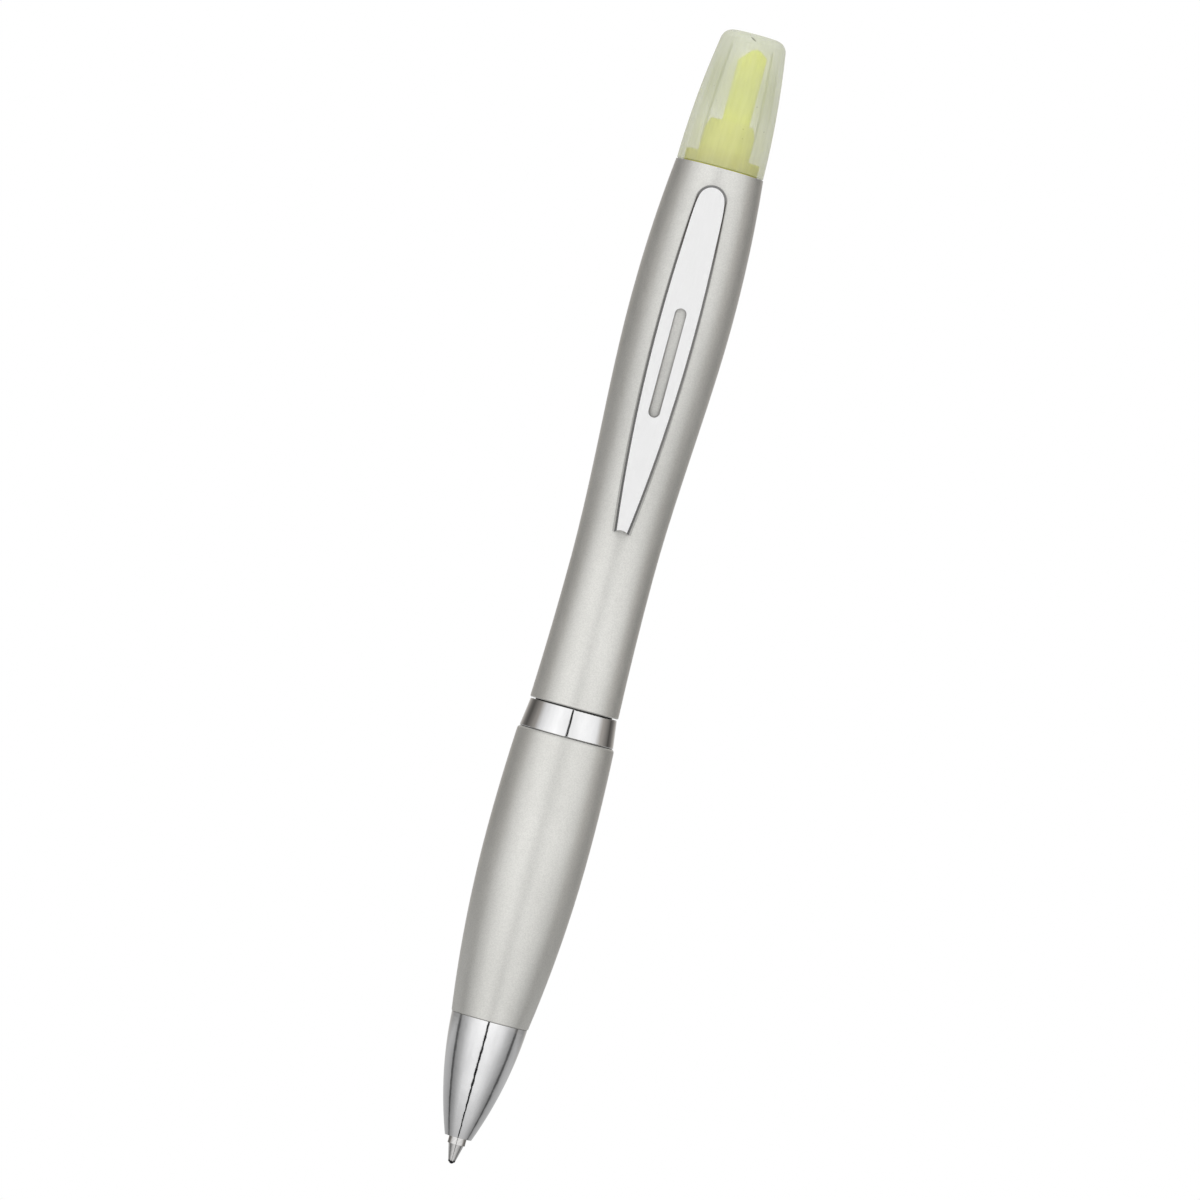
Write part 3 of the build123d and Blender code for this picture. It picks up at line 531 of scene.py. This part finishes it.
# ---------------------------------------------------------------- operators
class PEN_OT_studio(bpy.types.Operator):
    """Camera, floor, world and fill light"""

    bl_idname = "pen.studio"
    bl_label = "Studio"

    # Brightness of the surroundings by angle round the pen from the camera, in degrees.
    BANDS = (
        (-180, 0.90), (-155, 0.42), (-135, 0.16), (-122, 0.09), (-104, 0.19), (-90, 0.33), (-74, 0.78),
        (-60, 1.00), (-32, 1.18), (-8, 1.04), (8, 1.00), (32, 1.10), (60, 1.01), (74, 0.92), (90, 0.40),
        (104, 0.26), (122, 0.07), (135, 0.15), (155, 0.42), (180, 0.90),
    )
    # The same for rays that run down from the pen.
    LOW_BANDS = (
        (-180, 0.60), (-118, 0.54), (-104, 0.46), (-99, 0.14), (-94, 0.10), (-88, 0.36), (-68, 0.56),
        (-44, 1.08), (-20, 1.30), (20, 1.24), (44, 1.04), (68, 0.62), (88, 0.36), (94, 0.10), (99, 0.14),
        (104, 0.44), (118, 0.54), (180, 0.60),
    )
    WARMTH = (1.06, 1.0, 0.93)  # tint of the darker level bands
    WARM_BELOW = 0.5  # brightness under which a level band is tinted
    LOW_FROM = (0.04, 0.14)  # how far down a ray runs where the low bands begin, and where they alone hold
    STEEP = (0.45, 0.95)  # how far up or down a ray runs where the bands begin to fade, and are gone
    STEEP_GREY = (0.72, 0.72, 0.72)
    GAP = (radians(2.1), radians(2.8))  # angles off the front: the dark gap ends, full light begins
    GAP_LIGHT = 0.01  # light left in the gap
    GAP_WIDENING = 1.4  # share by which the gap grows for a ray straight down
    FALL = 0.62  # share of the light lost for a ray straight down
    FLOOR_SIDES = 96
    FLOOR_FADE = (0.45, 0.98)  # shares of the floor's radius where it begins to fade, and is gone
    LAMP_SIZE = 0.5
    LAMP_PLACE = (-0.25, -0.45, 0.75)

    def camera(self, studio):
        data = bpy.data.cameras.new("long_lens")
        data.lens = data.sensor_width * studio.distance / studio.frame_width
        data.clip_start = 0.1 * studio.distance
        data.clip_end = 10 * studio.distance
        view = bpy.data.objects.new("camera", data)
        bpy.context.scene.collection.objects.link(view)
        right = Vector((cos(studio.lean), 0, sin(studio.lean)))
        up = Vector((-sin(studio.lean), 0, cos(studio.lean)))
        turn = Matrix((right, up, right.cross(up))).transposed()
        view.matrix_world = (
            Matrix.Translation((studio.aim_side, -studio.distance, studio.aim_height)) @ turn.to_4x4()
        )
        bpy.context.scene.camera = view

    def bands(self, tree, share, table):
        """The colour at a share of the turn round the pen, from a table of angles and brightness."""
        ramp = add_node(tree, "ShaderNodeValToRGB")
        stops = ramp.color_ramp.elements
        while len(stops) > 1:
            stops.remove(stops[-1])
        for number, (degrees, brightness) in enumerate(table):
            position = (degrees + 180) / 360
            stop = stops[0] if number == 0 else stops.new(position)
            stop.position = position
            warm = brightness < self.WARM_BELOW and table is self.BANDS
            tint = self.WARMTH if warm else (1, 1, 1)
            stop.color = (*[brightness * channel for channel in tint], 1)
        tree.links.new(share, ramp.inputs["Fac"])
        return ramp.outputs["Color"]

    def world(self):
        world = bpy.data.worlds.new("studio_surroundings")
        world.use_nodes = True
        tree = world.node_tree
        tree.nodes.clear()
        ray = add_node(tree, "ShaderNodeTexCoord")
        split = add_node(tree, "ShaderNodeSeparateXYZ")
        tree.links.new(ray.outputs["Generated"], split.inputs["Vector"])
        away = calculate(tree, "MULTIPLY", split.outputs["Y"], -1.0)
        angle = calculate(tree, "ARCTAN2", split.outputs["X"], away)
        share = spread(tree, angle, 0, 1, start=-pi, end=pi)
        down = calculate(tree, "MAXIMUM", calculate(tree, "MULTIPLY", split.outputs["Z"], -1.0), 0.0)
        level = self.bands(tree, share, self.BANDS)
        low = self.bands(tree, share, self.LOW_BANDS)
        bands = blend_colours(tree, spread(tree, down, 0, 1, *self.LOW_FROM), level, low)
        steep = spread(tree, calculate(tree, "ABSOLUTE", split.outputs["Z"]), 0, 1, *self.STEEP)
        bands = blend_colours(tree, steep, bands, self.STEEP_GREY)
        widening = calculate(tree, "ADD", 1.0, calculate(tree, "MULTIPLY", down, self.GAP_WIDENING))
        narrow = calculate(tree, "DIVIDE", calculate(tree, "ABSOLUTE", angle), widening)
        lit = calculate(tree, "SUBTRACT", 1.0, calculate(tree, "MULTIPLY", down, self.FALL))
        strength = calculate(tree, "MULTIPLY", spread(tree, narrow, self.GAP_LIGHT, 1, *self.GAP), lit)
        round_light = add_node(tree, "ShaderNodeBackground")
        tree.links.new(bands, round_light.inputs["Color"])
        tree.links.new(strength, round_light.inputs["Strength"])
        backdrop = add_node(tree, "ShaderNodeBackground")
        backdrop.inputs["Color"].default_value = (1, 1, 1, 1)
        path = add_node(tree, "ShaderNodeLightPath")
        choice = add_node(tree, "ShaderNodeMixShader")
        tree.links.new(path.outputs["Is Camera Ray"], choice.inputs["Fac"])
        tree.links.new(round_light.outputs["Background"], choice.inputs[1])
        tree.links.new(backdrop.outputs["Background"], choice.inputs[2])
        out = add_node(tree, "ShaderNodeOutputWorld")
        tree.links.new(choice.outputs["Shader"], out.inputs["Surface"])
        bpy.context.scene.world = world

    def floor(self, studio):
        radius = studio.floor_radius
        work = bmesh.new()
        bmesh.ops.create_circle(work, cap_ends=True, segments=self.FLOOR_SIDES, radius=radius)
        bmesh.ops.translate(work, verts=work.verts, vec=(0, 0, -studio.floor_drop))
        mesh = bpy.data.meshes.new("floor")
        work.to_mesh(mesh)
        work.free()
        disc = new_piece("floor", mesh)
        disc.visible_glossy = False
        disc.visible_transmission = False

        def paint(tree):
            shaded = darker(studio.floor, 0.97)
            base, roughness = mottled(tree, studio.floor, shaded, size=40 * MM, smooth=0.6, rough=0.75)
            return base, roughness, ((cloud(tree, 2 * MM, detail=2), 0.02 * MM),)

        pale = finish("pale_floor", paint)
        tree = pale.node_tree
        shader = tree.nodes["Principled BSDF"]
        reach = add_node(tree, "ShaderNodeVectorMath", operation="LENGTH")
        tree.links.new(place(tree, (1, 1, 0)), reach.inputs[0])
        faded = spread(tree, reach.outputs["Value"], 1, 0, *[share * radius for share in self.FLOOR_FADE])
        tree.links.new(faded, shader.inputs["Alpha"])
        mesh.materials.append(pale)

    def execute(self, context):
        studio = context.scene.pen_studio
        self.camera(studio)
        self.world()
        self.floor(studio)
        data = bpy.data.lights.new("overhead_fill", "AREA")
        data.shape = "DISK"
        data.size = self.LAMP_SIZE
        data.energy = studio.fill
        lamp = bpy.data.objects.new("overhead_fill", data)
        context.scene.collection.objects.link(lamp)
        lamp.location = self.LAMP_PLACE
        lamp.rotation_mode = "QUATERNION"
        toward = Vector((0, 0, studio.aim_height)) - lamp.location
        lamp.rotation_quaternion = toward.to_track_quat("-Z", "Y")
        lamp.visible_camera = False
        lamp.visible_glossy = False
        context.scene.view_settings.view_transform = "Standard"
        return {"FINISHED"}


class PEN_OT_painted_shells(bpy.types.Operator):
    """Silver paint on the upper barrel and the grip section"""

    bl_idname = "pen.painted_shells"
    bl_label = "Painted shells"

    def execute(self, context):
        wear(satin_silver_paint(context.scene.pen_finishes), "upper_barrel", "grip_section")
        return {"FINISHED"}


class PEN_OT_chrome_shells(bpy.types.Operator):
    """Chrome on the ring and the nose"""

    bl_idname = "pen.chrome_shells"
    bl_label = "Ring and nose"

    def execute(self, context):
        wear(polished_chrome(context.scene.pen_finishes), "center_ring", "nose_cone")
        return {"FINISHED"}


class PEN_OT_clip(bpy.types.Operator):
    """Brushed and polished pocket clip"""

    bl_idname = "pen.clip"
    bl_label = "Clip"

    def execute(self, context):
        wear(brushed_clip_steel(context.scene.pen_finishes), "clip")
        return {"FINISHED"}


class PEN_OT_cap(bpy.types.Operator):
    """Frosted cap, and the ribs moulded inside it"""

    bl_idname = "pen.cap"
    bl_label = "Cap"

    RIB_POINTS = 13
    RIB_SIDES = 12
    LOW_SWELL = 0.5  # share of the cap's bulge at the ribs' lower ends
    MIDDLE_SWELL = 0.6  # and the share added halfway up
    TOP_DEPTH = 0.5  # depth of the ribs' line under the cap's skin at its top, as a share of the wall

    def rib_tree(self):
        """Round ribs that follow the inside of the cap, spaced evenly round it."""
        tree = bpy.data.node_groups.new("cap_ribs", "GeometryNodeTree")
        face = tree.interface
        face.new_socket("Geometry", in_out="OUTPUT", socket_type="NodeSocketGeometry")
        face.new_socket("Ribs", in_out="INPUT", socket_type="NodeSocketInt")
        for label in ("Rib Radius", "Low Radius", "High Radius", "Low Height", "High Height", "Bulge"):
            face.new_socket(label, in_out="INPUT", socket_type="NodeSocketFloat")
        face.new_socket("Material", in_out="INPUT", socket_type="NodeSocketMaterial")
        given = add_node(tree, "NodeGroupInput").outputs
        line = add_node(tree, "GeometryNodeCurvePrimitiveLine")
        for socket, end in (("Start", "Low"), ("End", "High")):
            corner = add_node(tree, "ShaderNodeCombineXYZ")
            tree.links.new(given[end + " Radius"], corner.inputs["X"])
            tree.links.new(given[end + " Height"], corner.inputs["Z"])
            tree.links.new(corner.outputs["Vector"], line.inputs[socket])
        even = add_node(tree, "GeometryNodeResampleCurve")
        even.inputs["Count"].default_value = self.RIB_POINTS
        tree.links.new(line.outputs["Curve"], even.inputs["Curve"])
        along = add_node(tree, "GeometryNodeSplineParameter").outputs["Factor"]
        rest = calculate(tree, "SUBTRACT", 1.0, along)
        # Four times the product of the two is an arch that is 0 at both ends and 1 halfway.
        arch = calculate(tree, "MULTIPLY", calculate(tree, "MULTIPLY", along, rest), 4.0)
        swell = add_node(tree, "ShaderNodeCombineXYZ")
        tree.links.new(calculate(tree, "MULTIPLY", arch, given["Bulge"]), swell.inputs["X"])
        bent = add_node(tree, "GeometryNodeSetPosition")
        tree.links.new(even.outputs["Curve"], bent.inputs["Geometry"])
        tree.links.new(swell.outputs["Vector"], bent.inputs["Offset"])
        section = add_node(tree, "GeometryNodeCurvePrimitiveCircle")
        section.inputs["Resolution"].default_value = self.RIB_SIDES
        tree.links.new(given["Rib Radius"], section.inputs["Radius"])
        rib = add_node(tree, "GeometryNodeCurveToMesh")
        rib.inputs["Fill Caps"].default_value = True
        tree.links.new(bent.outputs["Geometry"], rib.inputs["Curve"])
        tree.links.new(section.outputs["Curve"], rib.inputs["Profile Curve"])
        spots = add_node(tree, "GeometryNodePoints")
        tree.links.new(given["Ribs"], spots.inputs["Count"])
        # Half a step on, so that four ribs stand clear of the front, the back and both sides.
        number = calculate(tree, "ADD", add_node(tree, "GeometryNodeInputIndex").outputs["Index"], 0.5)
        step = calculate(tree, "DIVIDE", 2 * pi, given["Ribs"])
        turn = add_node(tree, "ShaderNodeCombineXYZ")
        tree.links.new(calculate(tree, "MULTIPLY", number, step), turn.inputs["Z"])
        round_axis = add_node(tree, "GeometryNodeInstanceOnPoints")
        tree.links.new(spots.outputs["Points"], round_axis.inputs["Points"])
        tree.links.new(rib.outputs["Mesh"], round_axis.inputs["Instance"])
        tree.links.new(turn.outputs["Vector"], round_axis.inputs["Rotation"])
        real = add_node(tree, "GeometryNodeRealizeInstances")
        tree.links.new(round_axis.outputs["Instances"], real.inputs["Geometry"])
        dressed = add_node(tree, "GeometryNodeSetMaterial")
        tree.links.new(real.outputs["Geometry"], dressed.inputs["Geometry"])
        tree.links.new(given["Material"], dressed.inputs["Material"])
        out = add_node(tree, "NodeGroupOutput")
        tree.links.new(dressed.outputs["Geometry"], out.inputs["Geometry"])
        return tree

    def execute(self, context):
        ribs = context.scene.pen_cap_ribs
        frosted = frosted_cap_plastic(context.scene.pen_finishes, ribs)
        wear(frosted, "highlighter_cap")
        mouth_radius = cap_high.x - ribs.wall
        top_radius = cap_high.x - ribs.narrowing - self.TOP_DEPTH * ribs.wall
        low = cap_low.z + ribs.rise
        high = cap_high.z - ribs.drop
        slope = (top_radius - mouth_radius) / (cap_high.z - cap_low.z)
        values = {
            "Ribs": ribs.count,
            "Rib Radius": ribs.radius,
            "Low Radius": mouth_radius + slope * ribs.rise + self.LOW_SWELL * ribs.bulge,
            "High Radius": mouth_radius + slope * (high - cap_low.z),
            "Low Height": low,
            "High Height": high,
            "Bulge": self.MIDDLE_SWELL * ribs.bulge,
            "Material": frosted,
        }
        tree = self.rib_tree()
        piece = new_piece("cap_inner_ribs", bpy.data.meshes.new("cap_inner_ribs"))
        modifier = piece.modifiers.new("ribs", "NODES")
        modifier.node_group = tree
        for item in tree.interface.items_tree:
            if item.in_out == "INPUT":
                modifier[item.identifier] = values[item.name]
        settled(piece, "cap_inner_ribs")
        if not piece.data.polygons:
            raise RuntimeError("the cap's ribs came out empty")
        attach(piece, "cap")
        return {"FINISHED"}


class PEN_OT_nib(bpy.types.Operator):
    """Felt chisel nib with soft corners and fibre grooves"""

    bl_idname = "pen.nib"
    bl_label = "Felt nib"

    VOXEL = 0.07 * MM
    SOFTENING = 6
    GROOVE = 0.018 * MM  # depth of the fibre grooves
    GROOVE_SHORTNESS = 0.08  # a groove's width as a share of its length

    def execute(self, context):
        looks = context.scene.pen_finishes
        piece = new_piece("felt_nib", merged_copy("highlighter_nib"))
        remesh = piece.modifiers.new("even", "REMESH")
        remesh.mode = "VOXEL"
        remesh.voxel_size = self.VOXEL
        soften = piece.modifiers.new("soften", "SMOOTH")
        soften.factor = 0.5
        soften.iterations = self.SOFTENING
        settled(piece, "felt_nib")
        mesh = piece.data
        across = 1 / looks.fibre
        along = self.GROOVE_SHORTNESS * across
        moved = []
        for vertex in mesh.vertices:
            at = vertex.co
            strand = noise.noise(Vector((at.x * across, at.y * across, at.z * along)))
            moved.append(at + vertex.normal * (self.GROOVE * strand))
        for vertex, at in zip(mesh.vertices, moved):
            vertex.co = at
        mesh.shade_smooth()
        mesh.materials.clear()
        mesh.materials.append(inked_felt(looks))
        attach(piece, "barrel")
        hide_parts("highlighter_nib")
        return {"FINISHED"}


class PEN_OT_ink_store(bpy.types.Operator):
    """Nib holder, fibre rod, film and cup"""

    bl_idname = "pen.ink_store"
    bl_label = "Holder and ink store"

    def execute(self, context):
        looks = context.scene.pen_finishes
        wear(tinted_holder_plastic(looks), "nib_holder")
        wear(inked_fibre(looks), "ink_reservoir")
        film = moulded(
            "clear_film", (0.93, 0.93, 0.90), (0.86, 0.87, 0.80), smooth=0.08, rough=0.2,
            Transmission_Weight=0.9, IOR=1.5,
        )
        wear(film, "reservoir_sleeve")
        cup = moulded(
            "natural_cup_plastic", (0.88, 0.88, 0.86), (0.80, 0.80, 0.77), smooth=0.35, rough=0.5
        )
        wear(cup, "reservoir_cup")
        return {"FINISHED"}


class PEN_OT_twist_mechanism(bpy.types.Operator):
    """Guide tube, cam sleeve, carrier, pin and rings"""

    bl_idname = "pen.twist_mechanism"
    bl_label = "Twist mechanism"

    def execute(self, context):
        black = moulded(
            "black_acetal", (0.030, 0.030, 0.032), (0.016, 0.016, 0.018), smooth=0.28, rough=0.42
        )
        wear(black, "guide_tube")
        white = moulded(
            "white_acetal", (0.86, 0.86, 0.84), (0.78, 0.78, 0.75), smooth=0.30, rough=0.45
        )
        wear(white, "cam_sleeve")
        grey = moulded(
            "grey_acetal", (0.42, 0.42, 0.41), (0.34, 0.34, 0.335), smooth=0.30, rough=0.45
        )
        wear(grey, "refill_carrier")
        wear(black_rubber(), "friction_o_ring")
        wear(drawn_spring_steel(), "retaining_ring", "cam_pin", "return_spring")
        return {"FINISHED"}


class PEN_OT_refill(bpy.types.Operator):
    """Refill tube, ink, grease, plug, point and ball"""

    bl_idname = "pen.refill"
    bl_label = "Refill"

    def execute(self, context):
        clear = moulded(
            "clear_refill_plastic", (0.92, 0.92, 0.91), (0.86, 0.87, 0.87), smooth=0.10, rough=0.22,
            Transmission_Weight=0.85, IOR=1.49,
        )
        wear(clear, "refill_tube", "end_plug")
        wear(ballpoint_ink(), "refill_ink")
        wear(clear_grease(), "follower_grease")
        nickel = turned_metal(
            "turned_nickel_silver", (0.86, 0.85, 0.84), (0.50, 0.49, 0.48),
            smooth=0.05, rough=0.12, pitch=0.16 * MM,
        )
        tree = nickel.node_tree
        shader = tree.nodes["Principled BSDF"]
        height = add_node(tree, "ShaderNodeSeparateXYZ")
        tree.links.new(place(tree), height.inputs["Vector"])
        ragged = spread(tree, cloud(tree, 0.3 * MM), 0, SMEAR_RAGGEDNESS)
        smear = calculate(tree, "ADD", height.outputs["Z"], ragged)
        inked = spread(tree, smear, 1, 0, *SMEAR_FADE)
        metal = shader.inputs["Base Color"].links[0].from_socket
        smeared = blend_colours(tree, inked, metal, DRIED_INK)
        tree.links.new(smeared, shader.inputs["Base Color"])
        wear(nickel, "writing_point", "point_holder")
        carbide = turned_metal(
            "polished_carbide", (0.045, 0.045, 0.05), (0.03, 0.03, 0.034),
            smooth=0.12, rough=0.25, pitch=0.05 * MM,
        )
        wear(carbide, "writing_ball")
        return {"FINISHED"}


class PEN_PT_sidebar(bpy.types.Panel):
    """Lists the pen's pieces and settings"""

    bl_idname = "PEN_PT_sidebar"
    bl_label = "Pen"
    bl_space_type = "VIEW_3D"
    bl_region_type = "UI"
    bl_category = "Pen"

    def draw(self, context):
        for operator in OPERATORS:
            self.layout.operator(operator.bl_idname)
        scene = context.scene
        for group in (scene.pen_studio, scene.pen_finishes, scene.pen_cap_ribs):
            box = self.layout.box()
            for name in type(group).__annotations__:
                box.prop(group, name)


OPERATORS = (
    PEN_OT_studio,
    PEN_OT_painted_shells,
    PEN_OT_chrome_shells,
    PEN_OT_clip,
    PEN_OT_cap,
    PEN_OT_nib,
    PEN_OT_ink_store,
    PEN_OT_twist_mechanism,
    PEN_OT_refill,
)
CLASSES = (PenFinishes, PenCapRibs, PenStudio, *OPERATORS, PEN_PT_sidebar)


def register():
    for item in CLASSES:
        bpy.utils.register_class(item)
    bpy.types.Scene.pen_finishes = PointerProperty(type=PenFinishes)
    bpy.types.Scene.pen_cap_ribs = PointerProperty(type=PenCapRibs)
    bpy.types.Scene.pen_studio = PointerProperty(type=PenStudio)


def unregister():
    del bpy.types.Scene.pen_studio
    del bpy.types.Scene.pen_cap_ribs
    del bpy.types.Scene.pen_finishes
    for item in reversed(CLASSES):
        bpy.utils.unregister_class(item)


def main():
    register()
    bpy.ops.pen.studio()
    bpy.ops.pen.painted_shells()
    bpy.ops.pen.chrome_shells()
    bpy.ops.pen.clip()
    bpy.ops.pen.cap()
    bpy.ops.pen.nib()
    bpy.ops.pen.ink_store()
    bpy.ops.pen.twist_mechanism()
    bpy.ops.pen.refill()


if __name__ == "__main__":
    main()
